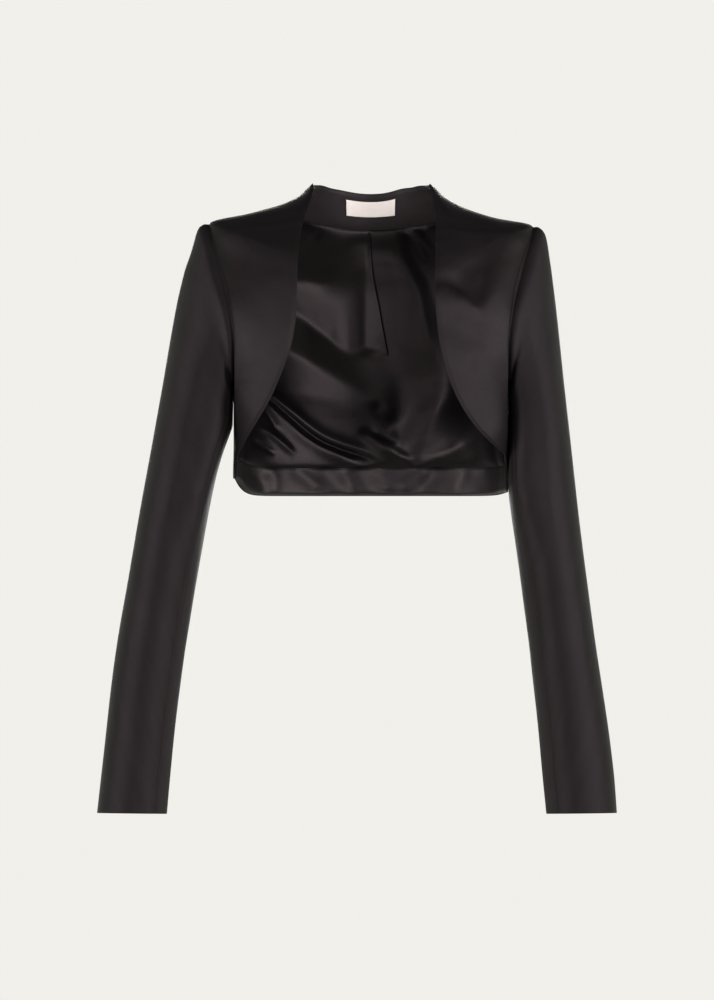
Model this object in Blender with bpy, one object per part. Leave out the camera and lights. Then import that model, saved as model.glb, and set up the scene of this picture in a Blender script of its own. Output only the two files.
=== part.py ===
"""Cropped open-front bolero jacket: satin shell, two-piece sleeves, lined back with facings.

Metres, +Z up. The wearer faces -Y and the wearer's left is +X. The origin is the middle of the
neck base, level with the shoulder line at the neck. Tables are in millimetres.
"""

import math
from collections import namedtuple

import bmesh
import bpy
import numpy as np

MM = 0.001

# ---- walls and gaps -------------------------------------------------------------------------
SHELL = 1.5          # satin with its fused backing
LINING = 1.0         # lining, facings and label
SEAM = 0.4           # gap between two pieces at a seam
LAYER = 0.5          # gap between two cloths that lie on each other

# ---- torso: half rings from the hem up to the top of the neck stand ------------------------------
# half_width, y_side:    the ring at the wearer's side (or on the shoulder seam)
# z_right, z_left:       height of that place on the wearer's right and left
# cut_front, cut_back:   half width at which the front and the back panel end
# square:                2 is an ellipse, more is boxier
# y_front, z_front:      the ring at centre front
# y_back, z_back:        the ring at centre back
# z_power, z_spread:     how the ring's height passes from the side to the centre
Section = namedtuple(
    "Section",
    "name half_width cut_front cut_back square y_side z_right z_left "
    "y_front z_front y_back z_back z_power z_spread",
)
SECTIONS = [
    Section("hem", 151.0, 151.0, 151.0, 2.3, 8, -300, -313, -95, -308, 97, -318.5, 22, 1),
    Section("under_bust", 150.6, 150.6, 150.6, 2.3, 7, -262, -264, -100, -264, 100, -266, 8, 1),
    Section("armpit", 149.8, 149.8, 149.8, 2.3, 5, -205, -205, -104, -208, 104, -213, 2, 1),
    Section("armhole_low", 152.5, 147.0, 148.5, 2.25, 4, -190, -190, -105, -194, 105, -199, 2, 1),
    Section("armhole_curve", 161.5, 147.0, 150.0, 2.15, 4, -162, -162, -106, -171, 106.4, -177, 2, 1),
    Section("armhole_mid", 173.0, 151.0, 156.0, 2.05, 4, -119, -119, -105.5, -138, 107.8, -143, 2, 1),
    Section("armhole_high", 178.5, 163.0, 167.0, 2.0, 4, -67, -69, -100, -105, 107, -105, 2, 1),
    Section("armhole_top", 179.0, 171.5, 173.0, 2.0, 4, -40, -42.5, -94.5, -88, 105, -84, 2, 1),
    Section("shoulder_tip", 178.0, 178.0, 178.0, 2.0, 4, -20.5, -23.5, -87, -72, 101.5, -66, 2, 1),
    Section("shoulder_mid", 135.0, 135.0, 135.0, 2.0, 5, -9.5, -13.8, -71, -46, 92.5, -34, 2, 1),
    Section("shoulder_neck", 98.0, 98.0, 98.0, 2.0, 7, 1.4, -0.8, -54, -24, 84, -14, 2, 1),
    Section("stand_low", 80.0, 80.0, 80.0, 2.0, 9, 10.0, 10.0, -43, -8, 77, 2, 2, 2),
    Section("stand_top", 65.0, 65.0, 65.0, 2.0, 10, 24.4, 24.4, -36, 8, 70, 20.8, 2, 4),
]
ARMPIT, SHOULDER_TIP, STAND_TOP = 2, 8, 12
CORNERED = ("cut_front", "cut_back")

# ---- open front edges: distance from the centre line at each height ---------------------------------
EdgePoint = namedtuple("EdgePoint", "z right left")
FRONT_EDGE = [
    EdgePoint(-316, 151.0, 151.0),
    EdgePoint(-300, 150.7, 150.2),
    EdgePoint(-287, 149.0, 148.0),
    EdgePoint(-277, 145.5, 143.0),
    EdgePoint(-261, 135.5, 124.5),
    EdgePoint(-238, 120.5, 104.5),
    EdgePoint(-216, 107.5, 91.0),
    EdgePoint(-198, 99.0, 83.0),
    EdgePoint(-175, 90.0, 76.0),
    EdgePoint(-152, 83.5, 71.5),
    EdgePoint(-129, 80.5, 69.0),
    EdgePoint(-103, 79.5, 67.5),
    EdgePoint(-77, 79.0, 68.0),
    EdgePoint(-49, 77.5, 69.0),
    EdgePoint(-24, 74.0, 70.0),
    EdgePoint(2, 67.0, 69.0),
    EdgePoint(25, 61.5, 62.5),
]
EDGE_MIN_ANGLE = 2.6     # degrees of ring that a front keeps at its lowest point

# ---- sleeves: outer and inner line seen from the front, and the depth of each ring ------------------
LinePoint = namedtuple("LinePoint", "z x")


def line(*pairs):
    return [LinePoint(z, x) for z, x in pairs]


OUTER_LINE = {
    "right": line(
        (-661, 295.3), (-595, 288.5), (-530, 281.4), (-465, 273.0), (-400, 262.4), (-335, 251.2),
        (-269, 239.8), (-203, 229.0), (-137, 218.3), (-104, 212.0), (-88, 208.2), (-71, 203.8),
        (-55, 198.2), (-38, 192.6), (-30, 190.0), (-24, 186.5), (-19, 178.0),
    ),
    "left": line(
        (-661, 264.4), (-627, 262.3), (-595, 259.0), (-530, 250.4), (-465, 241.3), (-400, 232.8),
        (-335, 225.0), (-269, 217.5), (-203, 211.0), (-137, 204.5), (-104, 201.0), (-88, 199.0),
        (-71, 196.8), (-55, 194.4), (-40, 191.4), (-32, 189.0), (-26.5, 185.0), (-22, 178.0),
    ),
}
INNER_LINE = {
    "right": line(
        (-662, 221.2), (-627, 218.5), (-562, 213.0), (-498, 205.0), (-433, 195.0), (-368, 184.0),
        (-335, 178.0), (-302, 171.4), (-286, 167.6), (-269, 162.5), (-253, 157.2), (-241, 153.2),
        (-222, 151.6), (-205, 150.7),
    ),
    "left": line(
        (-662, 188.8), (-627, 185.6), (-562, 180.0), (-498, 173.0), (-433, 165.2), (-400, 161.0),
        (-368, 156.4), (-335, 151.8), (-319, 150.0), (-300, 149.2), (-270, 149.2), (-241, 150.3),
        (-222, 150.8), (-205, 150.7),
    ),
}
SHOULDER_DROP = {"right": 0.0, "left": 2.7}      # how much lower the sleeve head sits
# lift: how much higher the front of a ring is than its middle
SleeveRing = namedtuple("SleeveRing", "z_outer z_inner half_depth y_middle lift")
SLEEVE_RINGS = [
    SleeveRing(-24, -208.5, 56.0, 4.0, 0.0),
    SleeveRing(-33, -211.0, 57.0, 4.0, 0.0),
    SleeveRing(-52, -214.0, 57.5, 3.5, 0.0),
    SleeveRing(-80, -217.5, 58.0, 2.5, 0.0),
    SleeveRing(-115, -222.0, 58.0, 1.0, 0.0),
    SleeveRing(-155, -229.5, 57.5, -2.0, 0.0),
    SleeveRing(-200, -241.0, 56.5, -7.0, 0.0),
    SleeveRing(-248, -263.0, 55.0, -14.0, 0.0),
    SleeveRing(-300, -306.0, 52.5, -19.0, 0.5),
    SleeveRing(-352, -360.0, 50.0, -23.0, 1.0),
    SleeveRing(-410, -417.0, 47.5, -27.0, 1.5),
    SleeveRing(-475, -481.0, 45.0, -31.0, 2.2),
    SleeveRing(-540, -545.0, 42.5, -35.0, 3.0),
    SleeveRing(-602, -605.0, 40.5, -39.0, 4.0),
    SleeveRing(-661, -662.0, 39.0, -44.0, 5.2),
]
CUFF_Z, HEAD_Z = SLEEVE_RINGS[-1].z_outer, SLEEVE_RINGS[0].z_outer
ARMHOLE_Y, ARMHOLE_DEPTH = 4.5, 52.0
HEAD_RINGS = 6.0             # rings over which the armhole's own shape fades out
FRONT_SEAM_ROW = 3.0         # torso rows at which the two sleeve seams leave the armhole
BACK_SEAM_ROW = 4.0

# ---- inside of the back: where its cloths meet, in ring numbers of the torso --------------------------
NECK_SEAM = 9.95
HEM_SEAM = 0.58
SIDE_MARGIN = 1 / 11         # share of the half ring that the inner cloths leave free at the sides

# centre pleat of the lining, its free fold edge drifts to the wearer's left on the way down
PleatPoint = namedtuple("PleatPoint", "z start edge height")
PLEAT = [
    PleatPoint(-15, -1.0, 0.0, 0.8),
    PleatPoint(-60, -5.0, 5.5, 3.0),
    PleatPoint(-105, -8.0, 12.5, 5.0),
    PleatPoint(-140, -10.0, 18.0, 5.0),
    PleatPoint(-158, -11.0, 20.0, 2.5),
    PleatPoint(-178, -12.0, 22.0, 0.0),
]
PLEAT_RETURN = 5.0           # width over which the pleat falls back from its fold edge

# largest soft folds of the lining: a line from (x0, z0) to (x1, z1), half width and height inwards
Fold = namedtuple("Fold", "x0 z0 x1 z1 half_width height")
LINING_FOLDS = [
    Fold(-88, -112, -26, -150, 30, 5.0),
    Fold(-100, -182, -18, -222, 15, 4.5),
    Fold(-116, -230, 12, -288, 12, 4.5),
    Fold(2, -190, 42, -208, 16, 4.0),
    Fold(-10, -236, 40, -274, 14, 3.5),
    Fold(66, -226, 112, -252, 18, 3.5),
]

# ---- label ------------------------------------------------------------------------------------------
LABEL_WIDTH, LABEL_HEIGHT, LABEL_TOP = 56.0, 16.0, 14.0

# ---- colours, linear ---------------------------------------------------------------------------------
SLOTS = {
    "satin_black": ((0.018, 0.015, 0.016, 1.0), 0.42),
    "lining_black": ((0.020, 0.017, 0.018, 1.0), 0.32),
    "label_ivory": ((0.76, 0.70, 0.61, 1.0), 0.7),
}


# ---- curves through table rows -----------------------------------------------------------------------
def through(knots, values, at, corners=()):
    """Smooth curve through (knot, value) pairs with no overshoot; it may bend sharply at corners."""
    n = len(knots)
    step = [knots[i + 1] - knots[i] for i in range(n - 1)]
    rise = [(values[i + 1] - values[i]) / step[i] for i in range(n - 1)]

    def slope(i, from_left):
        if i == 0:
            return rise[0]
        if i == n - 1:
            return rise[-1]
        if i in corners:
            return rise[i - 1] if from_left else rise[i]
        a, b = rise[i - 1], rise[i]
        if a * b <= 0:
            return 0.0
        w1, w2 = 2 * step[i] + step[i - 1], step[i] + 2 * step[i - 1]
        return (w1 + w2) / (w1 / a + w2 / b)

    k = max(0, min(n - 2, int(np.searchsorted(knots, at, side="right")) - 1))
    t = (at - knots[k]) / step[k]
    m0, m1 = slope(k, False) * step[k], slope(k + 1, True) * step[k]
    return (
        (2 * t**3 - 3 * t**2 + 1) * values[k]
        + (t**3 - 2 * t**2 + t) * m0
        + (3 * t**2 - 2 * t**3) * values[k + 1]
        + (t**3 - t**2) * m1
    )


def by_height(points, z, column):
    return through([p.z for p in points], [getattr(p, column) for p in points], z)


def section_at(s):
    """The torso ring at row number s, between two rows of the table."""
    s = min(max(s, 0.0), float(STAND_TOP))
    knots = list(range(len(SECTIONS)))
    row = {"name": "ring"}
    for column in Section._fields[1:]:
        corners = (ARMPIT, SHOULDER_TIP) if column in CORNERED else ()
        row[column] = through(knots, [getattr(r, column) for r in SECTIONS], s, corners)
    if not ARMPIT < s < SHOULDER_TIP:
        row["cut_front"] = row["cut_back"] = row["half_width"]
    return Section(**row)


def ring_point(row, front, angle, side):
    """Point of a torso ring: angle 0 at the side or shoulder seam, 90 degrees at the centre."""
    y_mid, z_mid = (row.y_front, row.z_front) if front else (row.y_back, row.z_back)
    z_side = row.z_left if side > 0 else row.z_right
    c = max(math.cos(angle), 0.0) ** (2 / row.square)
    k = max(math.sin(angle), 0.0) ** (2 / row.square)
    return np.array([
        side * row.half_width * c,
        row.y_side + (y_mid - row.y_side) * k,
        z_side + (z_mid - z_side) * (1 - c**row.z_power) ** row.z_spread,
    ])


def cut_angle(row, front):
    cut = row.cut_front if front else row.cut_back
    return math.acos(min(1.0, cut / row.half_width) ** (row.square / 2))


def edge_angle(row, side):
    """Ring angle at which a front meets its open edge."""
    column = "left" if side > 0 else "right"
    lo, hi = cut_angle(row, True), math.pi / 2
    least = lo + math.radians(EDGE_MIN_ANGLE)
    for _ in range(40):
        mid = 0.5 * (lo + hi)
        p = ring_point(row, True, mid, side)
        if abs(p[0]) > by_height(FRONT_EDGE, p[2], column):
            lo = mid
        else:
            hi = mid
    return max(least, 0.5 * (lo + hi))


# ---- surfaces, each a function of two numbers ----------------------------------------------------------
def back_surface(u, s):
    """u runs from -1 at the wearer's right to 1 at the wearer's left."""
    row = section_at(s)
    start = cut_angle(row, False)
    angle = start + (math.pi / 2 - start) * (1 - abs(u))
    return ring_point(row, False, angle, 1 if u >= 0 else -1)


def front_surface(side):
    def surface(w, s):
        """w runs from 0 at the side, armhole or shoulder seam to 1 at the open edge."""
        row = section_at(s)
        start = cut_angle(row, True)
        return ring_point(row, True, start + (edge_angle(row, side) - start) * w, side)

    return surface


def armhole_curve(side, front):
    """The armhole from the shoulder tip to the armpit: row numbers, share of its length, points."""
    rows = np.linspace(SHOULDER_TIP, ARMPIT, 121)
    points = []
    for s in rows:
        row = section_at(s)
        points.append(ring_point(row, front, cut_angle(row, front), side))
    points = np.array(points)
    length = np.concatenate([[0], np.cumsum(np.linalg.norm(np.diff(points, axis=0), axis=1))])
    return rows, length / length[-1], points


ARMHOLE = {(side, front): armhole_curve(side, front) for side in (-1, 1) for front in (True, False)}


def armhole_angle(side, front, s):
    """Degrees round the sleeve, from the top over the front, at which torso row s meets the armhole."""
    rows, share, _ = ARMHOLE[side, front]
    half = 180.0 * float(np.interp(-s, -rows, share))
    return half if front else 360.0 - half


def armhole_point(angle, side):
    front = angle <= 180.0
    _, share, points = ARMHOLE[side, front]
    at = angle / 180.0 if front else (360.0 - angle) / 180.0
    return np.array([np.interp(at, share, points[:, i]) for i in range(3)])


def sleeve_surface(wearer_side):
    side = 1 if wearer_side == "left" else -1
    knots = list(range(1, len(SLEEVE_RINGS) + 1))

    def column(name, r):
        return through(knots, [getattr(k, name) for k in SLEEVE_RINGS], r)

    tip, pit = armhole_point(0.0, side), armhole_point(180.0, side)

    def ellipse(angle, outer, inner, y_mid, depth, lift):
        """Ring between an outer and an inner (x, z), seen from the front."""
        c, k = math.cos(math.radians(angle)), math.sin(math.radians(angle))
        return np.array([
            0.5 * (outer[0] + inner[0]) + 0.5 * (outer[0] - inner[0]) * c,
            y_mid - depth * k,
            0.5 * (outer[1] + inner[1]) + 0.5 * (outer[1] - inner[1]) * c + lift * k,
        ])

    def ring(angle, r):
        drop = SHOULDER_DROP[wearer_side] / (HEAD_Z - CUFF_Z)
        z_out = column("z_outer", r)
        z_out -= (z_out - CUFF_Z) * drop
        z_in = column("z_inner", r)
        x_out = by_height(OUTER_LINE[wearer_side], z_out, "x")
        x_in = by_height(INNER_LINE[wearer_side], z_in, "x")
        return ellipse(angle, (side * x_out, z_out), (side * x_in, z_in),
                       column("y_middle", r), column("half_depth", r), column("lift", r))

    def shape_left(angle):
        """How far the armhole departs from a plain ring; the sleeve loses it on the way down."""
        plain = ellipse(angle, (tip[0], tip[2]), (pit[0], pit[2]), ARMHOLE_Y, ARMHOLE_DEPTH, 0.0)
        return armhole_point(angle, side) - plain

    def surface(angle, r):
        """angle in degrees round the sleeve, r the ring number; ring 0 is the armhole."""
        angle = angle % 360.0
        r = max(r, 0.0)
        left = max(0.0, 1 - r / HEAD_RINGS) ** 1.5 * shape_left(angle) if r < HEAD_RINGS else 0.0
        if r >= 1:
            return ring(angle, r) + left
        plain = ellipse(angle, (tip[0], tip[2]), (pit[0], pit[2]), ARMHOLE_Y, ARMHOLE_DEPTH, 0.0)
        return plain * (1 - r) + ring(angle, 1) * r + left

    return surface


def moved(surface, distance, outward, tiny=1e-3, limits=None):
    """The same surface moved along its own normal; outward gives the rough outward direction."""
    (u0, u1), (v0, v1) = limits

    def surface_moved(u, v):
        ua, ub = max(u - tiny * (u1 - u0), u0), min(u + tiny * (u1 - u0), u1)
        va, vb = max(v - tiny * (v1 - v0), v0), min(v + tiny * (v1 - v0), v1)
        n = np.cross(surface(ub, v) - surface(ua, v), surface(u, vb) - surface(u, va))
        n /= np.linalg.norm(n)
        p = surface(u, v)
        if np.dot(n, outward(p)) < 0:
            n = -n
        d = distance(u, v, p) if callable(distance) else distance
        return p + n * d

    return surface_moved


# ---- walls -------------------------------------------------------------------------------------------
def grid_of(surface, us, vs):
    return np.array([[surface(u, v) for u in us] for v in vs])


def drawn_in(grid, amounts):
    """Pulls the rim of a grid inwards along the cloth: first column, last column, first row, last row."""
    g = grid.copy()
    for axis, index, inner, amount in (
        (1, 0, 1, amounts[0]), (1, -1, -2, amounts[1]), (0, 0, 1, amounts[2]), (0, -1, -2, amounts[3]),
    ):
        if not amount:
            continue
        rim = (slice(None), index) if axis == 1 else (index, slice(None))
        next_in = (slice(None), inner) if axis == 1 else (inner, slice(None))
        d = g[next_in] - g[rim]
        d /= np.linalg.norm(d, axis=1)[:, None]
        g[rim] = g[rim] + d * amount
    return g


def wall(name, slot, outer, inner):
    """A closed thin wall between two grids of points."""
    rows, cols = outer.shape[:2]
    mesh = bpy.data.meshes.new(name)
    bm = bmesh.new()
    a = [[bm.verts.new(p * MM) for p in line] for line in outer]
    b = [[bm.verts.new(p * MM) for p in line] for line in inner]
    for i in range(rows - 1):
        for j in range(cols - 1):
            for face in (a, b):
                bm.faces.new((face[i][j], face[i][j + 1], face[i + 1][j + 1]))
                bm.faces.new((face[i][j], face[i + 1][j + 1], face[i + 1][j]))
    rim = (
        [(0, j) for j in range(cols)]
        + [(i, cols - 1) for i in range(1, rows)]
        + [(rows - 1, j) for j in range(cols - 2, -1, -1)]
        + [(i, 0) for i in range(rows - 2, 0, -1)]
    )
    for (i, j), (k, l) in zip(rim, rim[1:] + rim[:1]):
        bm.faces.new((a[i][j], b[i][j], b[k][l], a[k][l]))
    bmesh.ops.triangulate(bm, faces=bm.faces, quad_method="SHORT_EDGE")
    bmesh.ops.recalc_face_normals(bm, faces=bm.faces)
    bm.to_mesh(mesh)
    bm.free()
    obj = bpy.data.objects.new(name, mesh)
    bpy.context.scene.collection.objects.link(obj)
    mesh.materials.append(material(name, slot))
    return obj


def material(name, slot):
    colour, roughness = SLOTS[slot]
    mat = bpy.data.materials.new(slot + "_" + name)
    mat.use_nodes = True
    shader = mat.node_tree.nodes["Principled BSDF"]
    shader.inputs["Base Color"].default_value = colour
    shader.inputs["Roughness"].default_value = roughness
    return mat


# ---- pieces -------------------------------------------------------------------------------------------
def rows_between(stops, counts):
    """Row numbers from stop to stop, each span split evenly."""
    out = [stops[0]]
    for lo, hi, n in zip(stops, stops[1:], counts):
        out += list(np.linspace(lo, hi, n + 1)[1:])
    return out


def out_of_torso(p):
    """Rough outward direction on the torso: up on the shoulder, sideways below it."""
    return np.array([p[0] * 0.6, p[1] - 4.0, 90.0 * max(0.0, min(1.0, (p[2] + 110) / 90.0))])


TORSO_ROWS = rows_between([0, HEM_SEAM, ARMPIT, 4, 6, SHOULDER_TIP, NECK_SEAM, STAND_TOP], [1, 3, 4, 3, 3, 3, 3])
BACK_COLUMNS = list(np.linspace(-1, 1, 23))
BACK_LIMITS = ((-1.0, 1.0), (0.0, float(STAND_TOP)))
FRONT_LIMITS = ((0.0, 1.0), (0.0, float(STAND_TOP)))


def make_back():
    us = BACK_COLUMNS
    inner = moved(back_surface, -SHELL, out_of_torso, limits=BACK_LIMITS)
    rim = (SEAM / 2, SEAM / 2, 0, 0)
    wall("back", "satin_black", drawn_in(grid_of(back_surface, us, TORSO_ROWS), rim),
         drawn_in(grid_of(inner, us, TORSO_ROWS), rim))


def make_front(name, side):
    surface = front_surface(side)
    ws = list(np.linspace(0, 1, 10))
    inner = moved(surface, -SHELL, out_of_torso, limits=FRONT_LIMITS)
    rim = (SEAM / 2, 0, 0, 0)
    wall(name, "satin_black", drawn_in(grid_of(surface, ws, TORSO_ROWS), rim),
         drawn_in(grid_of(inner, ws, TORSO_ROWS), rim))


def make_sleeve(wearer_side):
    surface = sleeve_surface(wearer_side)
    side = 1 if wearer_side == "left" else -1
    rings = list(range(len(SLEEVE_RINGS) + 1))
    limits = ((-360.0, 720.0), (0.0, float(len(SLEEVE_RINGS))))

    def out_of_sleeve(p):
        r = min(max((-p[2] - 20) / 650.0, 0.0), 1.0)
        x = side * (172.0 + (88.0 if wearer_side == "right" else 56.0) * r)
        y = 4.0 - 48.0 * r
        high = max(0.0, min(1.0, (p[2] + 170.0) / 120.0))
        return np.array([(p[0] - x), p[1] - y, 60.0 * high])

    inner = moved(surface, -SHELL, out_of_sleeve, tiny=1e-4, limits=limits)
    rows = [s for s in TORSO_ROWS if ARMPIT - 1e-9 <= s <= SHOULDER_TIP + 1e-9][::-1]
    over_front = [armhole_angle(side, True, s) for s in rows]
    under_back = [armhole_angle(side, False, s) for s in rows[-2::-1]]
    around = over_front + under_back
    front_seam = int(np.argmin([abs(a - armhole_angle(side, True, FRONT_SEAM_ROW)) for a in around]))
    back_seam = int(np.argmin([abs(a - armhole_angle(side, False, BACK_SEAM_ROW)) for a in around]))
    halves = {
        "top_sleeve_": [a - 360.0 for a in around[back_seam:-1]] + around[: front_seam + 1],
        "under_sleeve_": around[front_seam: back_seam + 1],
    }
    for prefix, angles in halves.items():
        rim = (SEAM / 2, SEAM / 2, SEAM, 0)
        wall(prefix + wearer_side, "satin_black", drawn_in(grid_of(surface, angles, rings), rim),
             drawn_in(grid_of(inner, angles, rings), rim))


def pleat_height(x, z):
    if z < PLEAT[-1].z or z > PLEAT[0].z:
        return 0.0
    rows = PLEAT[::-1]
    start, edge, height = (by_height(rows, z, c) for c in ("start", "edge", "height"))
    if x <= start or x >= edge + PLEAT_RETURN:
        return 0.0
    if x <= edge:
        t = (x - start) / (edge - start)
        return height * t * t * (3 - 2 * t)
    return height * (1 - (x - edge) / PLEAT_RETURN)


def fold_height(x, z):
    total = 0.0
    for f in LINING_FOLDS:
        dx, dz = f.x1 - f.x0, f.z1 - f.z0
        length = math.hypot(dx, dz)
        along = ((x - f.x0) * dx + (z - f.z0) * dz) / length
        across = ((x - f.x0) * dz - (z - f.z0) * dx) / length
        past = max(0.0, -along, along - length)
        total += f.height * math.exp(-((across / f.half_width) ** 2) - (past / (1.4 * f.half_width)) ** 2)
    return total


def make_inside():
    """Lining and facings lie on the inner face of the back, the label on the neck facing."""
    first = SHELL + LAYER
    half = 1 - SIDE_MARGIN
    plain_us = BACK_COLUMNS[1:-1]
    lining_us = sorted(plain_us + [0.02, 0.045, 0.065, 0.08, 0.105, 0.12, 0.135, 0.155])
    rows_in = lambda lo, hi: [s for s in TORSO_ROWS if lo - 1e-9 <= s <= hi + 1e-9]

    def drape(u, s, p):
        ends = min(1.0, (s - HEM_SEAM) / 0.5, (NECK_SEAM - s) / 0.8, (half - abs(u)) / 0.12)
        return max(0.0, ends) * fold_height(p[0], p[2]) + min(1.0, max(0.0, (NECK_SEAM - s) / 0.3)) * pleat_height(
            p[0], p[2])

    lay = lambda base: (lambda u, s, p: -(base + drape(u, s, p)))
    pieces = (
        ("back_lining", "lining_black", lining_us, rows_in(HEM_SEAM, NECK_SEAM), lay(first), lay(first + LINING), 0.25),
        ("neck_facing", "satin_black", plain_us, rows_in(NECK_SEAM, STAND_TOP), -first, -(first + LINING), 0.25),
        ("hem_facing", "satin_black", plain_us, rows_in(0, HEM_SEAM), -first, -(first + LINING), 0.25),
    )
    for name, slot, us, rows, near, far, gap in pieces:
        rim = {"back_lining": (0, 0, gap, gap), "neck_facing": (0, 0, gap, 0), "hem_facing": (0, 0, 0, gap)}[name]
        grids = [
            drawn_in(grid_of(moved(back_surface, d, out_of_torso, limits=BACK_LIMITS), us, rows), rim)
            for d in (near, far)
        ]
        wall(name, slot, grids[0], grids[1])

    # label: a strip of the neck facing's inner face
    def level(z):
        lo, hi = float(SHOULDER_TIP), float(STAND_TOP)
        for _ in range(40):
            mid = 0.5 * (lo + hi)
            if back_surface(0.0, mid)[2] < z:
                lo = mid
            else:
                hi = mid
        return 0.5 * (lo + hi)

    rows = [level(LABEL_TOP - LABEL_HEIGHT), level(LABEL_TOP - LABEL_HEIGHT / 2), level(LABEL_TOP)]

    def label_surface(distance):
        lifted = moved(back_surface, distance, out_of_torso, limits=BACK_LIMITS)
        grid = []
        for s in rows:
            row = section_at(s)
            line = []
            for x in np.linspace(-LABEL_WIDTH / 2, LABEL_WIDTH / 2, 9):
                angle = math.acos(min(1.0, abs(x) / row.half_width))
                line.append(lifted(math.copysign(1 - angle / (math.pi / 2), x), s))
            grid.append(line)
        return np.array(grid)

    on_facing = first + LINING + LAYER
    wall("label", "label_ivory", label_surface(-on_facing), label_surface(-(on_facing + LINING)))


def main():
    for obj in list(bpy.data.objects):
        bpy.data.objects.remove(obj, do_unlink=True)
    make_back()
    make_front("front_right", -1)
    make_front("front_left", 1)
    for wearer_side in ("right", "left"):
        make_sleeve(wearer_side)
    make_inside()


main()
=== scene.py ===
"""Cropped open-front bolero jacket in black satin: its looks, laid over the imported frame.

Blender works in metres and the tables are in millimetres. The wearer faces -Y, the wearer's left is
+X, and the origin is the middle of the neck base. Folds are placed in the frame of the picture, 714
across and 1000 down, and lie on the cloth wherever the camera sees that place.
"""

import math
from collections import namedtuple

import bpy
import numpy as np
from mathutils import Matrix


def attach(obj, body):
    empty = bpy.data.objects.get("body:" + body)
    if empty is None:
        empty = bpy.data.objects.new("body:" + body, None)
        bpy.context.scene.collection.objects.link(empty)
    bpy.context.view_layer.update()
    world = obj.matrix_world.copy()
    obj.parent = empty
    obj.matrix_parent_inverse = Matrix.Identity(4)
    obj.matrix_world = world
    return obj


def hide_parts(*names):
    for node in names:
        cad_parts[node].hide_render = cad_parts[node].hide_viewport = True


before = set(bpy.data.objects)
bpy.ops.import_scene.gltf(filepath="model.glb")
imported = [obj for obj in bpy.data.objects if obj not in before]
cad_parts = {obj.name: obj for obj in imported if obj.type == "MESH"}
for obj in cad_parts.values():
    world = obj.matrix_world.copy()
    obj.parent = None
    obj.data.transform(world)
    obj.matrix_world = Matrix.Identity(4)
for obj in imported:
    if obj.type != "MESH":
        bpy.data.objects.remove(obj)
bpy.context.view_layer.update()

MM = 0.001
SHELL = 1.2          # satin with its fused backing
LINING = 0.7         # lining and facings
LABEL = 0.6

# ---- camera: level with the middle of the object, straight from the front ------------------------------
CAMERA = (-0.0154, -2.5, -0.324)
LENS, SENSOR = 81.97, 36.0
ACROSS, DOWN = 714, 1000
scene = bpy.context.scene
camera = bpy.data.objects.new("camera", bpy.data.cameras.new("camera"))
camera.data.lens = LENS
camera.data.sensor_width = SENSOR
camera.data.clip_end = 50.0
camera.location = CAMERA
camera.rotation_euler = (math.radians(90), 0, 0)
scene.collection.objects.link(camera)
scene.camera = camera
scene.view_settings.view_transform = "Standard"


def seen(points):
    """Where the camera sees each point: pixels across and down in the picture's frame."""
    away = points[..., 1] * MM - CAMERA[1]
    px = LENS / SENSOR * DOWN / away
    return (
        ACROSS / 2 + (points[..., 0] * MM - CAMERA[0]) * px,
        DOWN / 2 - (points[..., 2] * MM - CAMERA[2]) * px,
    )


# ---- torso: half rings from the hem up to the top of the neck stand, as in the CAD model ----------------
Section = namedtuple(
    "Section",
    "half_width cut_front cut_back square y_side z_right z_left "
    "y_front z_front y_back z_back z_power z_spread",
)
SECTIONS = [
    Section(151.0, 151.0, 151.0, 2.3, 8, -300, -315, -95, -308, 97, -319, 22, 1),          # hem
    Section(150.6, 150.6, 150.6, 2.3, 7, -262, -264, -100, -264, 100, -266, 8, 1),
    Section(149.8, 149.8, 149.8, 2.3, 5, -205, -205, -104, -208, 104, -213, 2, 1),         # armpit
    Section(152.5, 147.0, 148.5, 2.25, 4, -190, -190, -105, -194, 105, -199, 2, 1),
    Section(161.5, 147.0, 150.0, 2.15, 4, -162, -162, -106, -171, 106.4, -177, 2, 1),
    Section(173.0, 151.0, 156.0, 2.05, 4, -119, -119, -105.5, -138, 107.8, -143, 2, 1),
    Section(178.5, 163.0, 167.0, 2.0, 4, -67, -69, -100, -105, 107, -105, 2, 1),
    Section(179.0, 171.5, 173.0, 2.0, 4, -40, -42.5, -94.5, -88, 105, -84, 2, 1),
    Section(178.0, 178.0, 178.0, 2.0, 4, -20.5, -23.5, -87, -72, 101.5, -66, 2, 1),        # shoulder tip
    Section(135.0, 135.0, 135.0, 2.0, 5, -9.5, -13.8, -71, -46, 92.5, -34, 2, 1),
    Section(98.0, 98.0, 98.0, 2.0, 7, 1.4, -0.8, -54, -24, 84, -14, 2, 1),
    Section(80.0, 80.0, 80.0, 2.0, 9, 10.0, 10.0, -43, -8, 77, 2, 2, 2),                   # neck stand
    Section(65.0, 65.0, 65.0, 2.0, 10, 24.4, 24.4, -36, 8, 70, 20.8, 2, 4),
]
# the front of each ring is a little fuller towards the side
FULLER = [1.0, 1.0, 0.95, 0.85, 0.65, 0.35, 0.1, 0, 0, 0, 0, 0, 0]
ARMPIT, SHOULDER_TIP, STAND_TOP = 2, 8, 12
CORNERED = ("cut_front", "cut_back")
MIDDLES = ("y_front", "z_front", "y_back", "z_back")

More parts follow.
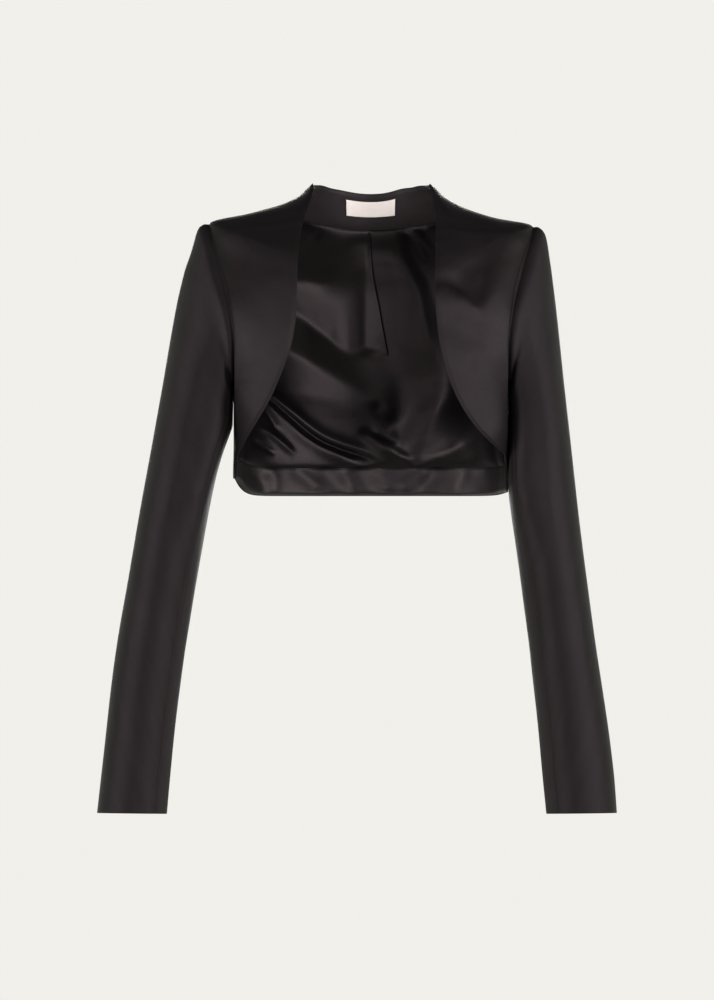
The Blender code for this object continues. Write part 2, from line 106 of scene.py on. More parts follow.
EdgePoint = namedtuple("EdgePoint", "z right left")
FRONT_EDGE = [
    EdgePoint(-316, 151.0, 151.0),
    EdgePoint(-300, 150.7, 150.2),
    EdgePoint(-287, 149.0, 148.0),
    EdgePoint(-277, 145.5, 143.0),
    EdgePoint(-261, 135.5, 124.5),
    EdgePoint(-238, 120.5, 104.5),
    EdgePoint(-216, 107.5, 91.0),
    EdgePoint(-198, 99.0, 83.0),
    EdgePoint(-175, 90.0, 76.0),
    EdgePoint(-152, 83.5, 71.5),
    EdgePoint(-129, 80.5, 69.0),
    EdgePoint(-103, 79.5, 67.5),
    EdgePoint(-77, 79.0, 68.0),
    EdgePoint(-49, 77.5, 69.0),
    EdgePoint(-24, 74.0, 70.0),
    EdgePoint(2, 67.0, 69.0),
    EdgePoint(25, 61.5, 62.5),
]
EDGE_MIN_ANGLE = 2.6

# ---- sleeves ------------------------------------------------------------------------------------------
OUTER_LINE = {
    "right": [
        (-661, 295.3), (-595, 288.5), (-530, 281.4), (-465, 273.0), (-400, 262.4), (-335, 251.2),
        (-269, 239.8), (-203, 229.0), (-137, 218.3), (-104, 212.0), (-88, 208.2), (-71, 203.8),
        (-55, 198.2), (-38, 192.6), (-30, 190.0), (-24, 186.5), (-19, 178.0),
    ],
    "left": [
        (-661, 264.4), (-627, 262.3), (-595, 259.0), (-530, 250.4), (-465, 241.3), (-400, 232.8),
        (-335, 225.4), (-269, 218.2), (-203, 211.9), (-137, 205.5), (-104, 202.0), (-88, 200.0),
        (-71, 197.8), (-55, 195.3), (-40, 192.2), (-32, 189.6), (-26.5, 185.2), (-22, 178.0),
    ],
}
INNER_LINE = {
    "right": [
        (-662, 220.6), (-627, 217.6), (-562, 211.6), (-498, 203.5), (-433, 193.4), (-368, 182.4),
        (-335, 176.3), (-302, 169.6), (-286, 165.6), (-269, 160.4), (-253, 154.8), (-241, 151.6),
        (-222, 151.6), (-205, 150.7),
    ],
    "left": [
        (-662, 188.8), (-627, 185.6), (-562, 180.0), (-498, 173.0), (-433, 165.2), (-400, 161.0),
        (-368, 156.4), (-335, 151.8), (-319, 150.0), (-300, 149.2), (-270, 149.2), (-241, 150.3),
        (-222, 150.8), (-205, 150.7),
    ],
}
SHOULDER_DROP = {"right": 0.0, "left": 2.7}
SleeveRing = namedtuple("SleeveRing", "z_outer z_inner half_depth y_middle lift")
SLEEVE_RINGS = [
    SleeveRing(-24, -208.5, 56.0, 4.0, 0.0),
    SleeveRing(-33, -211.0, 57.0, 4.0, 0.0),
    SleeveRing(-52, -214.0, 57.5, 3.5, 0.0),
    SleeveRing(-80, -217.5, 58.0, 2.5, 0.0),
    SleeveRing(-115, -222.0, 58.0, 1.0, 0.0),
    SleeveRing(-155, -229.5, 57.5, -2.0, 0.0),
    SleeveRing(-200, -241.0, 56.5, -7.0, 0.0),
    SleeveRing(-248, -263.0, 55.0, -14.0, 0.0),
    SleeveRing(-300, -306.0, 52.5, -19.0, 0.5),
    SleeveRing(-352, -360.0, 50.0, -23.0, 1.0),
    SleeveRing(-410, -417.0, 47.5, -27.0, 1.5),
    SleeveRing(-475, -481.0, 45.0, -31.0, 2.2),
    SleeveRing(-540, -545.0, 42.5, -35.0, 3.0),
    SleeveRing(-602, -605.0, 40.5, -39.0, 4.0),
    SleeveRing(-661, -662.0, 39.0, -44.0, 5.2),
]
CUFF_Z, HEAD_Z = SLEEVE_RINGS[-1].z_outer, SLEEVE_RINGS[0].z_outer
ARMHOLE_Y, ARMHOLE_DEPTH = 4.5, 52.0
HEAD_RINGS = 8.0
FRONT_SEAM_ROW, BACK_SEAM_ROW = 3.0, 4.0

# ---- inside of the back ---------------------------------------------------------------------------------
NECK_SEAM, HEM_SEAM = 9.95, 0.58


# ---- curves ---------------------------------------------------------------------------------------------
def gauss(d, width):
    return np.exp(-(d / width) ** 2)


def ease(t):
    t = np.clip(t, 0.0, 1.0)
    return t * t * (3 - 2 * t)


def through(knots, values, at, corners=()):
    """Smooth curve through (knot, value) pairs with no overshoot; it may bend sharply at corners."""
    knots, values, at = (np.asarray(a, float) for a in (knots, values, at))
    step = np.diff(knots)
    rise = np.diff(values) / step
    from_left, from_right = np.concatenate([rise[:1], rise]), np.concatenate([rise, rise[-1:]])
    for i in range(1, len(knots) - 1):
        a, b = rise[i - 1], rise[i]
        if i in corners:
            continue
        w1, w2 = 2 * step[i] + step[i - 1], step[i] + 2 * step[i - 1]
        from_left[i] = from_right[i] = 0.0 if a * b <= 0 else (w1 + w2) / (w1 / a + w2 / b)
    k = np.clip(np.searchsorted(knots, at, side="right") - 1, 0, len(knots) - 2)
    t = (at - knots[k]) / step[k]
    m0, m1 = from_right[k] * step[k], from_left[k + 1] * step[k]
    return (
        (2 * t**3 - 3 * t**2 + 1) * values[k]
        + (t**3 - 2 * t**2 + t) * m0
        + (3 * t**2 - 2 * t**3) * values[k + 1]
        + (t**3 - t**2) * m1
    )


def softly(knots, values, at, spread):
    """The same curve with its bends evened out, and its two ends held."""
    first, last = float(knots[0]), float(knots[-1])
    total, weight = 0.0, 0.0
    for d in np.linspace(-2, 2, 9):
        x = np.asarray(at, float) + d * spread
        y = through(knots, values, np.where(x < first, 2 * first - x, np.where(x > last, 2 * last - x, x)))
        y = np.where(x < first, 2 * values[0] - y, np.where(x > last, 2 * values[-1] - y, y))
        w = math.exp(-0.5 * d * d)
        total, weight = total + w * y, weight + w
    return total / weight


def rings_at(s, front=False):
    """Torso rings at an array of row numbers, each column as a standing array."""
    s = np.clip(np.asarray(s, float), 0.0, STAND_TOP)
    knots = np.arange(len(SECTIONS))
    row = {}
    for name in Section._fields:
        values = np.array([getattr(r, name) for r in SECTIONS], float)
        if name in CORNERED:
            row[name] = through(knots, values, s, (ARMPIT, SHOULDER_TIP))
        else:
            row[name] = softly(knots, values, s, 0.4 if name in MIDDLES else 0.12)
    inside = (s > ARMPIT) & (s < SHOULDER_TIP)
    for name in CORNERED:
        row[name] = np.where(inside, np.minimum(row[name], row["half_width"]), row["half_width"])
    if front:
        row["square"] = row["square"] + softly(knots, np.array(FULLER, float), s, 0.2)
    return Section(**{name: column[:, None] for name, column in row.items()})


def ring_points(row, front, angle, side):
    """Points of torso rings: angle 0 at the side or shoulder seam, a right angle at the centre."""
    y_mid, z_mid = (row.y_front, row.z_front) if front else (row.y_back, row.z_back)
    z_side = np.where(side > 0, row.z_left, row.z_right)
    c = np.maximum(np.cos(angle), 0.0) ** (2 / row.square)
    k = np.maximum(np.sin(angle), 0.0) ** (2 / row.square)
    x = side * row.half_width * c
    y = row.y_side + (y_mid - row.y_side) * k
    z = z_side + (z_mid - z_side) * np.maximum(1 - c**row.z_power, 0.0) ** row.z_spread
    return np.stack(np.broadcast_arrays(x, y, z), axis=-1)


def cut_angle(row, front):
    cut = row.cut_front if front else row.cut_back
    return np.arccos(np.minimum(1.0, cut / row.half_width) ** (row.square / 2))


def edge_angle(row, side):
    """Ring angle at which a front meets its open edge."""
    heights = [p.z for p in FRONT_EDGE]
    reach = [p.left if side > 0 else p.right for p in FRONT_EDGE]
    lo = cut_angle(row, True)
    least = lo + math.radians(EDGE_MIN_ANGLE)
    hi = np.full_like(lo, math.pi / 2)
    for _ in range(40):
        mid = 0.5 * (lo + hi)
        p = ring_points(row, True, mid, side)
        wide = np.abs(p[..., 0]) > through(heights, reach, p[..., 2])
        lo, hi = np.where(wide, mid, lo), np.where(wide, hi, mid)
    return np.maximum(least, 0.5 * (lo + hi))


def collar_rounded(p):
    """The two peaks of the neck stand are round, not pointed."""
    x, z = p[..., 0].copy(), p[..., 2]
    top = np.clip((z - 2) / 20, 0.0, 1.0) ** 2
    wide = np.where(x > 0, 1.5, 0.8) * np.exp(-((z - 18) / 6) ** 2)
    p[..., 0] += np.sign(x) * wide * ease((np.abs(x) - 50) / 12)
    shift = 2.2 * np.exp(-((np.abs(x) - 55) / 8) ** 2) - 0.6 * np.exp(-((np.abs(x) - 67) / 3.5) ** 2)
    shift += 2.3 * np.exp(-((x - 37) / 13) ** 2) + 0.8 * np.exp(-((x + 40) / 16) ** 2)
    p[..., 2] += shift * top
    return p


def back_points(u, s):
    """u, an array for each row or for all of them, runs from -1 at the wearer's right to 1 at the left."""
    row = rings_at(s)
    u = np.broadcast_to(u, (len(s), np.shape(u)[-1]))
    start = cut_angle(row, False)
    angle = start + (math.pi / 2 - start) * (1 - np.abs(u))
    return collar_rounded(ring_points(row, False, angle, np.where(u >= 0, 1.0, -1.0)))


def front_points(side, w, s):
    """w runs from 0 at the side, armhole or shoulder seam to 1 at the open edge."""
    row = rings_at(s, True)
    start = cut_angle(row, True)
    p = collar_rounded(ring_points(row, True, start + (edge_angle(row, side) - start) * w[None, :], float(side)))
    p[..., 2] -= 3.6 * w[None, :] ** 2 * np.clip((p[..., 2] - 4) / 20, 0.0, 1.2) ** 2
    return p


def armhole_curve(side, front):
    rows = np.linspace(SHOULDER_TIP, ARMPIT, 241)
    ring = rings_at(rows, front)
    points = ring_points(ring, front, cut_angle(ring, front), float(side))[:, 0]
    length = np.concatenate([[0], np.cumsum(np.linalg.norm(np.diff(points, axis=0), axis=1))])
    return rows, length / length[-1], points


ARMHOLE = {(side, front): armhole_curve(side, front) for side in (-1, 1) for front in (True, False)}


def armhole_angle(side, front, s):
    """Degrees round the sleeve, from the top over the front, at which torso row s meets the armhole."""
    rows, share, _ = ARMHOLE[side, front]
    half = 180.0 * float(np.interp(-s, -rows, share))
    return half if front else 360.0 - half


def armhole_points(angle, side):
    angle = np.asarray(angle, float) % 360.0
    out = np.zeros(angle.shape + (3,))
    for front in (True, False):
        _, share, points = ARMHOLE[side, front]
        at = angle / 180.0 if front else (360.0 - angle) / 180.0
        here = angle <= 180.0 if front else angle > 180.0
        for i in range(3):
            out[..., i] = np.where(here, np.interp(at, share, points[:, i]), out[..., i])
    return out


def sleeve_points(wearer_side, angle, r):
    """angle in degrees round the sleeve: 0 at the top, 90 in front, 180 at the body. r 0 is the armhole."""
    side = 1 if wearer_side == "left" else -1
    r = np.asarray(r, float)[:, None]
    knots = np.arange(1, len(SLEEVE_RINGS) + 1)
    column = {
        name: softly(knots, np.array([getattr(k, name) for k in SLEEVE_RINGS], float), np.maximum(r, 1.0), 0.3)
        for name in SleeveRing._fields
    }
    tip, pit = armhole_points(np.array([0.0]), side)[0], armhole_points(np.array([180.0]), side)[0]
    c, k = np.cos(np.radians(angle))[None, :], np.sin(np.radians(angle))[None, :]
    # the arm lies against the body, so the sleeve is squarer where its front turns in towards the body
    level = 0.5 * (column["z_outer"] + column["z_inner"])
    square = 0.5 * ease((-level - 110) / 60) * ease((410 + level) / 110) * ((c < 0) & (k > 0))

    def ellipse(x_out, z_out, x_in, z_in, y_mid, depth, lift, power=1.0):
        cx, ky = np.sign(c) * np.abs(c) ** power, np.sign(k) * np.abs(k) ** power
        x = 0.5 * (x_out + x_in) + 0.5 * (x_out - x_in) * cx
        y = y_mid - depth * ky
        z = 0.5 * (z_out + z_in) + 0.5 * (z_out - z_in) * c + lift * k
        return np.stack(np.broadcast_arrays(x, y, z), axis=-1)

    plain = ellipse(tip[0], tip[2], pit[0], pit[2], ARMHOLE_Y, ARMHOLE_DEPTH, 0.0)
    own_shape = armhole_points(angle, side)[None] - plain
    z_out = column["z_outer"] - (column["z_outer"] - CUFF_Z) * SHOULDER_DROP[wearer_side] / (HEAD_Z - CUFF_Z)
    z_in = column["z_inner"]
    outer, inner = np.array(OUTER_LINE[wearer_side]), np.array(INNER_LINE[wearer_side])
    ring = ellipse(side * through(outer[:, 0], outer[:, 1], z_out), z_out,
                   side * through(inner[:, 0], inner[:, 1], z_in), z_in,
                   column["y_middle"], column["half_depth"], column["lift"], 1 - square)
    near = np.clip(r, 0.0, 1.0)[..., None]
    fade = (np.clip(1 - r / HEAD_RINGS, 0.0, 1.0) ** 1.2)[..., None]
    return plain * (1 - near) + ring * near + own_shape * fade


# ---- places along a cloth ---------------------------------------------------------------------------------
def stations(length, step, fine_start=False, fine_end=False):
    """Shares 0..1 of a length, closer together near an edge that is rolled or sewn."""
    fine = np.array([0.0, 0.5, 1.0, 1.6, 2.3, 3.2, 4.4, 6.0])
    lo = fine if fine_start else np.array([0.0])
    hi = (length - fine)[::-1] if fine_end else np.array([length])
    n = max(2, int(round((hi[0] - lo[-1]) / step)))
    return np.concatenate([lo[:-1], np.linspace(lo[-1], hi[0], n + 1), hi[1:]]) / length


def even_rows(points_at, lo, hi, step, fine_lo=False, fine_hi=False):
    """Row numbers between lo and hi that lie about a step apart on the cloth."""
    dense = np.linspace(lo, hi, 400)
    p = points_at(dense)
    gone = np.concatenate([[0], np.cumsum(np.linalg.norm(np.diff(p, axis=0), axis=2).mean(axis=1))])
    return np.interp(stations(gone[-1], step, fine_lo, fine_hi) * gone[-1], gone, dense)


def run(points, axis):
    """Length gone along the rows (axis 1) or the columns (axis 0) of a grid."""
    d = np.linalg.norm(np.diff(points, axis=axis), axis=2)
    zero = np.zeros_like(np.take(d, [0], axis=axis))
    return np.concatenate([zero, np.cumsum(d, axis=axis)], axis=axis)


def normals_of(points):
    n = np.cross(np.gradient(points, axis=1), np.gradient(points, axis=0))
    return n / np.maximum(np.linalg.norm(n, axis=2), 1e-9)[..., None]


# ---- folds --------------------------------------------------------------------------------------------------
# path: places in the picture's frame, or in any other flat frame that is given
# rise: millimetres, up where positive; above, below: half widths on the two sides of the path, where
# "below" is on the right hand of someone walking along it; power: 2 is round, less is sharper;
# start, end: share of the path over which it comes up and dies away
Fold = namedtuple("Fold", "path rise above below power start end", defaults=(2.0, 0.3, 0.3))


def smooth_path(path, steps=8):
    p = np.array(path, float)
    if len(p) == 2:
        return np.linspace(p[0], p[1], steps + 1)
    ends = np.concatenate([[2 * p[0] - p[1]], p, [2 * p[-1] - p[-2]]])
    t = np.linspace(0, 1, steps, endpoint=False)[:, None]
    out = []
    for a, b, c, d in zip(ends, ends[1:], ends[2:], ends[3:]):
        out.append(0.5 * (2 * b + (c - a) * t + (2 * a - 5 * b + 4 * c - d) * t**2 + (3 * b - a - 3 * c + d) * t**3))
    return np.concatenate(out + [p[-1:]])


def fold_height(across, down, folds):
    """How far the cloth stands up at each place, from all its folds together."""
    total = np.zeros_like(across)
    for f in folds:
        path = smooth_path(f.path)
        seg = np.diff(path, axis=0)
        seg_len = np.hypot(seg[:, 0], seg[:, 1])
        gone = np.concatenate([[0], np.cumsum(seg_len)])
        reach = 3.2 * max(f.above, f.below)
        near = (
            (across > path[:, 0].min() - reach) & (across < path[:, 0].max() + reach)
            & (down > path[:, 1].min() - reach) & (down < path[:, 1].max() + reach)
        )
        if not near.any():
            continue
        x, y = across[near], down[near]
        best = np.full(x.shape, 1e9)
        side, along = np.zeros(x.shape), np.zeros(x.shape)
        for (x0, y0), (dx, dy), length, start in zip(path[:-1], seg, seg_len, gone):
            t = np.clip(((x - x0) * dx + (y - y0) * dy) / length**2, 0.0, 1.0)
            ox, oy = x - x0 - t * dx, y - y0 - t * dy
            dist = np.hypot(ox, oy)
            closer = dist < best
            best = np.where(closer, dist, best)
            side = np.where(closer, dx * (y - y0) - dy * (x - x0), side)
            along = np.where(closer, (start + t * length) / gone[-1], along)
        width = np.where(side > 0, f.below, f.above)
        body = np.exp(-(best / width) ** f.power)
        total[near] += f.rise * body * ease(along / max(f.start, 1e-6)) * ease((1 - along) / max(f.end, 1e-6))
    return total


# Large folds as a net of crest and valley lines: each line is a row of (across, down, height) places in
# the picture's frame, and the cloth runs smoothly from line to line.
def relief_height(across, down, lines, spacing=9.0, slack=0.02):
    points = []
    for line in lines:
        line = np.array(line, float)
        if len(line) == 1:
            points.append(line)
            continue
        gone = np.concatenate([[0], np.cumsum(np.hypot(*np.diff(line[:, :2], axis=0).T))])
        at = np.linspace(0, gone[-1], max(2, int(round(gone[-1] / spacing)) + 1))
        points.append(np.stack([through(gone, line[:, i], at) for i in range(3)], axis=1))
    points = np.concatenate(points)
    size = 100.0
    xy, h = points[:, :2] / size, points[:, 2]

    def bend(d2):
        return np.where(d2 > 1e-12, 0.5 * d2 * np.log(np.maximum(d2, 1e-12)), 0.0)

    n = len(xy)
    d2 = ((xy[:, None] - xy[None]) ** 2).sum(axis=2)
    plane = np.concatenate([np.ones((n, 1)), xy], axis=1)
    matrix = np.block([[bend(d2) + slack * 0.01 * np.eye(n), plane], [plane.T, np.zeros((3, 3))]])
    weights = np.linalg.solve(matrix, np.concatenate([h, np.zeros(3)]))
    flat = np.stack([across.ravel(), down.ravel()], axis=1) / size
    out = weights[n] + flat @ weights[n + 1:]
    for i in range(n):
        out += weights[i] * bend(((flat - xy[i]) ** 2).sum(axis=1))
    return out.reshape(across.shape)


def facet_height(across, down, lines, soft=3.0):
    """Flat facets between creases that run from left to right, given from the top down.

    Each crease is a row of (across, down, height) places; the cloth is straight from one crease to the
    next, and rounded off over a few pixels at each crease.
    """
    creases = []
    for line in lines:
        x, y, h = np.array(line, float).T
        at = np.clip(across, x[0], x[-1])
        creases.append((through(x, y, at), through(x, h, at)))
    total, weight = 0.0, 0.0
    for d in np.linspace(-2, 2, 9):
        here = down + d * soft
        height = np.where(here < creases[0][0], creases[0][1], creases[-1][1])
        for (y0, h0), (y1, h1) in zip(creases, creases[1:]):
            t = (here - y0) / np.maximum(y1 - y0, 0.5)
            height = np.where((t >= 0) & (t < 1), h0 + (h1 - h0) * t, height)
        w = math.exp(-0.5 * d * d)
        total, weight = total + w * height, weight + w
    return total / weight


def unevenness(a, b, size, seed):
    """Slow, even-handed waviness between -1 and 1, the same on each run."""
    rng = np.random.default_rng(seed)
    total = np.zeros_like(a)
    for _ in range(7):
        turn, phase, scale = rng.uniform(0, 2 * math.pi), rng.uniform(0, 2 * math.pi), rng.uniform(0.7, 1.6)
        total += np.sin((a * math.cos(turn) + b * math.sin(turn)) * 2 * math.pi / (size * scale) + phase)
    return total / 7 * 1.6


# ---- cloth meshes -----------------------------------------------------------------------------------------
def cloth(name, node, material, outer, thickness, free=(), turned=False, uv_origin=(0.0, 0.0)):
    """A closed thin cloth: an outer face, an inner face and a rounded rim all round.

    free names the edges that are rolled and show: first_column, last_column, first_row, last_row.
    turned says that rows and columns run so that the plain normal points inwards.
    """
    normal = normals_of(outer) * (-1 if turned else 1)
    thickness = np.broadcast_to(thickness, outer.shape[:2])[..., None]
    inner = outer - normal * thickness
    rows, cols = outer.shape[:2]
    rim = (
        [(0, j) for j in range(cols)]
        + [(i, cols - 1) for i in range(1, rows)]
        + [(rows - 1, j) for j in range(cols - 2, -1, -1)]
        + [(i, 0) for i in range(rows - 2, 0, -1)]
    )
    ri, rj = np.array(rim).T
    away = np.zeros((len(rim), 3))
    for here, next_in, edge in (
        (rj == 0, (ri, np.minimum(rj + 1, cols - 1)), "first_column"),
        (rj == cols - 1, (ri, np.maximum(rj - 1, 0)), "last_column"),
        (ri == 0, (np.minimum(ri + 1, rows - 1), rj), "first_row"),
        (ri == rows - 1, (np.maximum(ri - 1, 0), rj), "last_row"),
    ):
        d = outer[ri, rj] - outer[next_in]
        d /= np.maximum(np.linalg.norm(d, axis=1), 1e-9)[:, None]
        away += np.where(here[:, None], d * (1.0 if edge in free else 0.8), 0.0)
    half = 0.5 * (outer[ri, rj] - inner[ri, rj])
    middle = 0.5 * (outer[ri, rj] + inner[ri, rj])
    arcs = [
        middle + half * math.cos(t) + away * (0.5 * thickness[ri, rj] * math.sin(t))
        for t in np.radians([45, 90, 135])
    ]
    n = rows * cols
    index = np.arange(n).reshape(rows, cols)
    a, b, c, d = index[:-1, :-1], index[:-1, 1:], index[1:, 1:], index[1:, :-1]
    faces = [
        np.stack([a, b, c, d], axis=-1).reshape(-1, 4),
        np.stack([a, d, c, b], axis=-1).reshape(-1, 4) + n,
    ]
    at_rim = index[ri, rj]
    rings = [at_rim] + [2 * n + k * len(rim) + np.arange(len(rim)) for k in range(3)] + [at_rim + n]
    for p, q in zip(rings, rings[1:]):
        faces.append(np.stack([np.roll(p, -1), p, q, np.roll(q, -1)], axis=-1))
    faces = np.concatenate(faces)
    if turned:
        faces = faces[:, ::-1]
    points = np.concatenate([outer.reshape(-1, 3), inner.reshape(-1, 3)] + arcs)
    mesh = bpy.data.meshes.new(name)
    mesh.from_pydata((points * MM).tolist(), [], faces.tolist())
    mesh.polygons.foreach_set("use_smooth", np.ones(len(faces), bool))
    flat = np.stack([run(outer, 1) - uv_origin[0], run(outer, 0) - uv_origin[1]], axis=-1) * MM
    flat = np.concatenate([flat.reshape(-1, 2), flat.reshape(-1, 2)] + [flat[ri, rj]] * 3)
    layer = mesh.uv_layers.new(name="cloth")
    layer.data.foreach_set("uv", flat[faces.reshape(-1)].astype(np.float32).ravel())
    mesh.materials.append(material)
    mesh.update()
    obj = bpy.data.objects.new(name, mesh)
    scene.collection.objects.link(obj)
    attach(obj, "root")
    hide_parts(node)
    return obj


# ---- materials ----------------------------------------------------------------------------------------------
def fabric(name, dark, light, rough, gloss, tint, sheen, rib, rib_depth, crinkle, sideways=0.0):
    """Woven cloth: fine ribs across the warp, clouded colour and an uneven shine."""
    mat = bpy.data.materials.new(name)
    mat.use_nodes = True
    nodes, links = mat.node_tree.nodes, mat.node_tree.links
    shader = nodes["Principled BSDF"]
    shader.inputs["Specular IOR Level"].default_value = gloss
    shader.inputs["Specular Tint"].default_value = tint
    shader.inputs["Sheen Weight"].default_value = sheen
    shader.inputs["Sheen Roughness"].default_value = 0.45
    shader.inputs["Sheen Tint"].default_value = (0.92, 0.86, 0.88, 1.0)
    place = nodes.new("ShaderNodeUVMap")
    place.uv_map = "cloth"
    if sideways:
        # the floats of a satin run down the cloth, so that its shine spreads sideways
        shader.inputs["Anisotropic"].default_value = sideways
        along = nodes.new("ShaderNodeTangent")
        along.direction_type, along.uv_map = "UV_MAP", "cloth"
        links.new(along.outputs["Tangent"], shader.inputs["Tangent"])

    def noise(scale, detail):
        node = nodes.new("ShaderNodeTexNoise")
        node.inputs["Scale"].default_value = scale
        node.inputs["Detail"].default_value = detail
        links.new(place.outputs["UV"], node.inputs["Vector"])
        return node

    clouds = noise(38.0, 4.0)
    ramp = nodes.new("ShaderNodeValToRGB")
    ramp.color_ramp.elements[0].position, ramp.color_ramp.elements[1].position = 0.32, 0.70
    ramp.color_ramp.elements[0].color = (*dark, 1.0)
    ramp.color_ramp.elements[1].color = (*light, 1.0)
    links.new(clouds.outputs["Fac"], ramp.inputs["Fac"])
    links.new(ramp.outputs["Color"], shader.inputs["Base Color"])

    grain = noise(210.0, 3.0)
    spread = nodes.new("ShaderNodeMapRange")
    spread.inputs["From Min"].default_value, spread.inputs["From Max"].default_value = 0.3, 0.7
    spread.inputs["To Min"].default_value, spread.inputs["To Max"].default_value = rough
    links.new(grain.outputs["Fac"], spread.inputs["Value"])
    links.new(spread.outputs["Result"], shader.inputs["Roughness"])

    weave = nodes.new("ShaderNodeTexWave")
    weave.wave_type, weave.bands_direction = "BANDS", "Y"
    weave.inputs["Scale"].default_value = 0.314 / (rib * MM)
    weave.inputs["Distortion"].default_value = 1.6
    weave.inputs["Detail"].default_value = 2.0
    weave.inputs["Detail Scale"].default_value = 1.4
    links.new(place.outputs["UV"], weave.inputs["Vector"])
    ribs = nodes.new("ShaderNodeBump")
    ribs.inputs["Strength"].default_value = 0.35
    ribs.inputs["Distance"].default_value = rib_depth * MM
    links.new(weave.outputs["Fac"], ribs.inputs["Height"])
    soft = nodes.new("ShaderNodeBump")
    soft.inputs["Strength"].default_value = 0.5
    soft.inputs["Distance"].default_value = crinkle * MM
    links.new(noise(95.0, 3.0).outputs["Fac"], soft.inputs["Height"])
    links.new(ribs.outputs["Normal"], soft.inputs["Normal"])
    links.new(soft.outputs["Normal"], shader.inputs["Normal"])
    return mat


WARM = (1.0, 0.83, 0.87, 1.0)
SATIN = fabric("satin_black", (0.0047, 0.0038, 0.0040), (0.0064, 0.0053, 0.0056), (0.50, 0.56), 0.105, WARM, 0.0, 0.55, 0.05, 0.2, 0.75)
FACING_CLOTH = fabric("satin_black_inside", (0.0047, 0.0038, 0.0040), (0.0064, 0.0053, 0.0056), (0.40, 0.46), 0.18, WARM, 0.0, 0.55, 0.05, 0.2)
NECK_CLOTH = fabric("satin_black_neck", (0.0105, 0.0085, 0.0090), (0.0135, 0.0112, 0.0118), (0.46, 0.54), 0.14, WARM, 0.0, 0.55, 0.05, 0.2)
LINING_CLOTH = fabric("lining_black", (0.0025, 0.0021, 0.0022), (0.0035, 0.0029, 0.0031), (0.29, 0.34), 0.114, WARM, 0.0, 0.45, 0.035, 0.2)
LABEL_CLOTH = fabric("label_ivory", (0.748, 0.672, 0.632), (0.832, 0.755, 0.711), (0.62, 0.75), 0.3, (1.0, 1.0, 1.0, 1.0), 0.1, 0.8, 0.14, 0.05)


# ---- outer back ---------------------------------------------------------------------------------------------
def make_back():
    us = np.concatenate([-(1 - stations(190, 2.6, True)), (1 - stations(190, 2.6, True))[::-1][1:]])
    rows = even_rows(lambda s: back_points(np.array([-0.6, 0.0, 0.6]), s), 0, STAND_TOP, 2.6, True, True)
    p = back_points(us, rows)
    n = -normals_of(p)
    from_right, from_left = run(p, 1), run(p[:, ::-1], 1)[:, ::-1]
    x, z = p[..., 0], p[..., 2]
    lift = 0.55 * unevenness(x, z, 95, 11) * ease(np.minimum(from_right, from_left) / 25)
    lift += fold_height(x, -z, BACK_FOLDS)
    lift -= 0.3 * (gauss(from_right - 1.6, 0.9) + gauss(from_left - 1.6, 0.9))
    return cloth("back_cloth", "back", SATIN, p + n * lift[..., None], SHELL,
                 ("first_row", "last_row"), turned=True)


# places on the back: millimetres across, and down from the origin
BACK_FOLDS = [
    Fold([(-138, 205), (-105, 212), (-62, 232), (-20, 246)], 2.4, 9, 14),
    Fold([(138, 210), (100, 222), (58, 246), (24, 262)], 2.2, 9, 14),
    Fold([(-142, 232), (-110, 248), (-80, 268)], 1.8, 7, 9),
    Fold([(142, 240), (112, 258), (84, 280)], 1.7, 7, 9),
    Fold([(-150, 150), (-122, 138), (-88, 118), (-60, 92)], 1.6, 10, 12),
    Fold([(150, 155), (120, 140), (90, 122), (64, 98)], 1.5, 10, 12),
    Fold([(-40, 180), (0, 196), (44, 184)], -1.8, 18, 16),
]


# ---- outer fronts ---------------------------------------------------------------------------------------------
FRONT_NET = {
    -1: [
        [(205, 225, 0), (240, 216, 0), (290, 200, 0), (305, 192, 0)],
        [(218, 256, 0), (226, 310, 0), (229, 380, 0), (231, 430, 0), (236, 466, 0)],
        [(300, 250, 0), (296, 300, 0), (284, 356, 0), (262, 418, 0), (244, 452, 0)],
        [(258, 300, 0.6), (252, 360, 0.4), (246, 410, 0.2)],
        [(246, 224, -0.8), (258, 221, -1.2), (270, 217, -1.0)],
    ],
    1: [
        [(440, 192, 0), (470, 210, 0), (510, 222, 0), (545, 232, 0)],
        [(524, 246, 0), (512, 284, 0), (506, 330, 0), (505, 400, 0), (507, 455, 0)],
        [(437, 225, 0), (436, 255, 0), (436, 272, 0)],
        # hollow below the shoulder that ends in a point, with a fold that runs in to it from the open edge
        [(436, 289, 1.6), (450, 292, 2.4), (462, 299, 3.2), (472, 309, 3.8), (479, 316, 4.0)],
        [(437, 280, -0.8), (449, 283, -1.4), (459, 289, -1.6)],
        [(485, 304, 3.4), (489, 284, 2.6), (494, 263, 1.6), (501, 243, 0.4)],
        [(470, 228, -1.2), (470, 245, -4.2), (470, 262, -4.4), (470, 280, -2.6), (473, 295, 0.2)],
        [(481, 229, -1.2), (482, 245, -4.2), (482, 262, -4.4), (482, 280, -2.6), (481, 295, 0.2)],
        [(454, 236, 0), (454, 254, 0), (453, 270, -0.4)],
        [(438, 314, 0.2), (455, 322, -0.2), (470, 332, -0.2), (484, 338, 0.4)],
        [(440, 346, 0), (451, 383, 0), (466, 415, 0), (482, 437, 0), (496, 452, 0)],
        [(470, 352, 0.4)], [(478, 392, 0.6), (488, 412, 0.2), (496, 432, 0.8)],
    ],
}
FRONT_FOLDS = {
    -1: [],
    1: [
        Fold([(462, 361), (472, 365), (482, 366)], -1.0, 8, 9, 2.0, 0.5, 0.5),
        Fold([(436, 286), (450, 289), (462, 296), (472, 306), (479, 314)], 1.1, 3, 7, 2.0, 0.1, 0.2),
        Fold([(500, 242), (493, 262), (488, 284), (484, 302), (479, 314)], 1.0, 7, 4, 2.0, 0.3, 0.2),
    ],
}


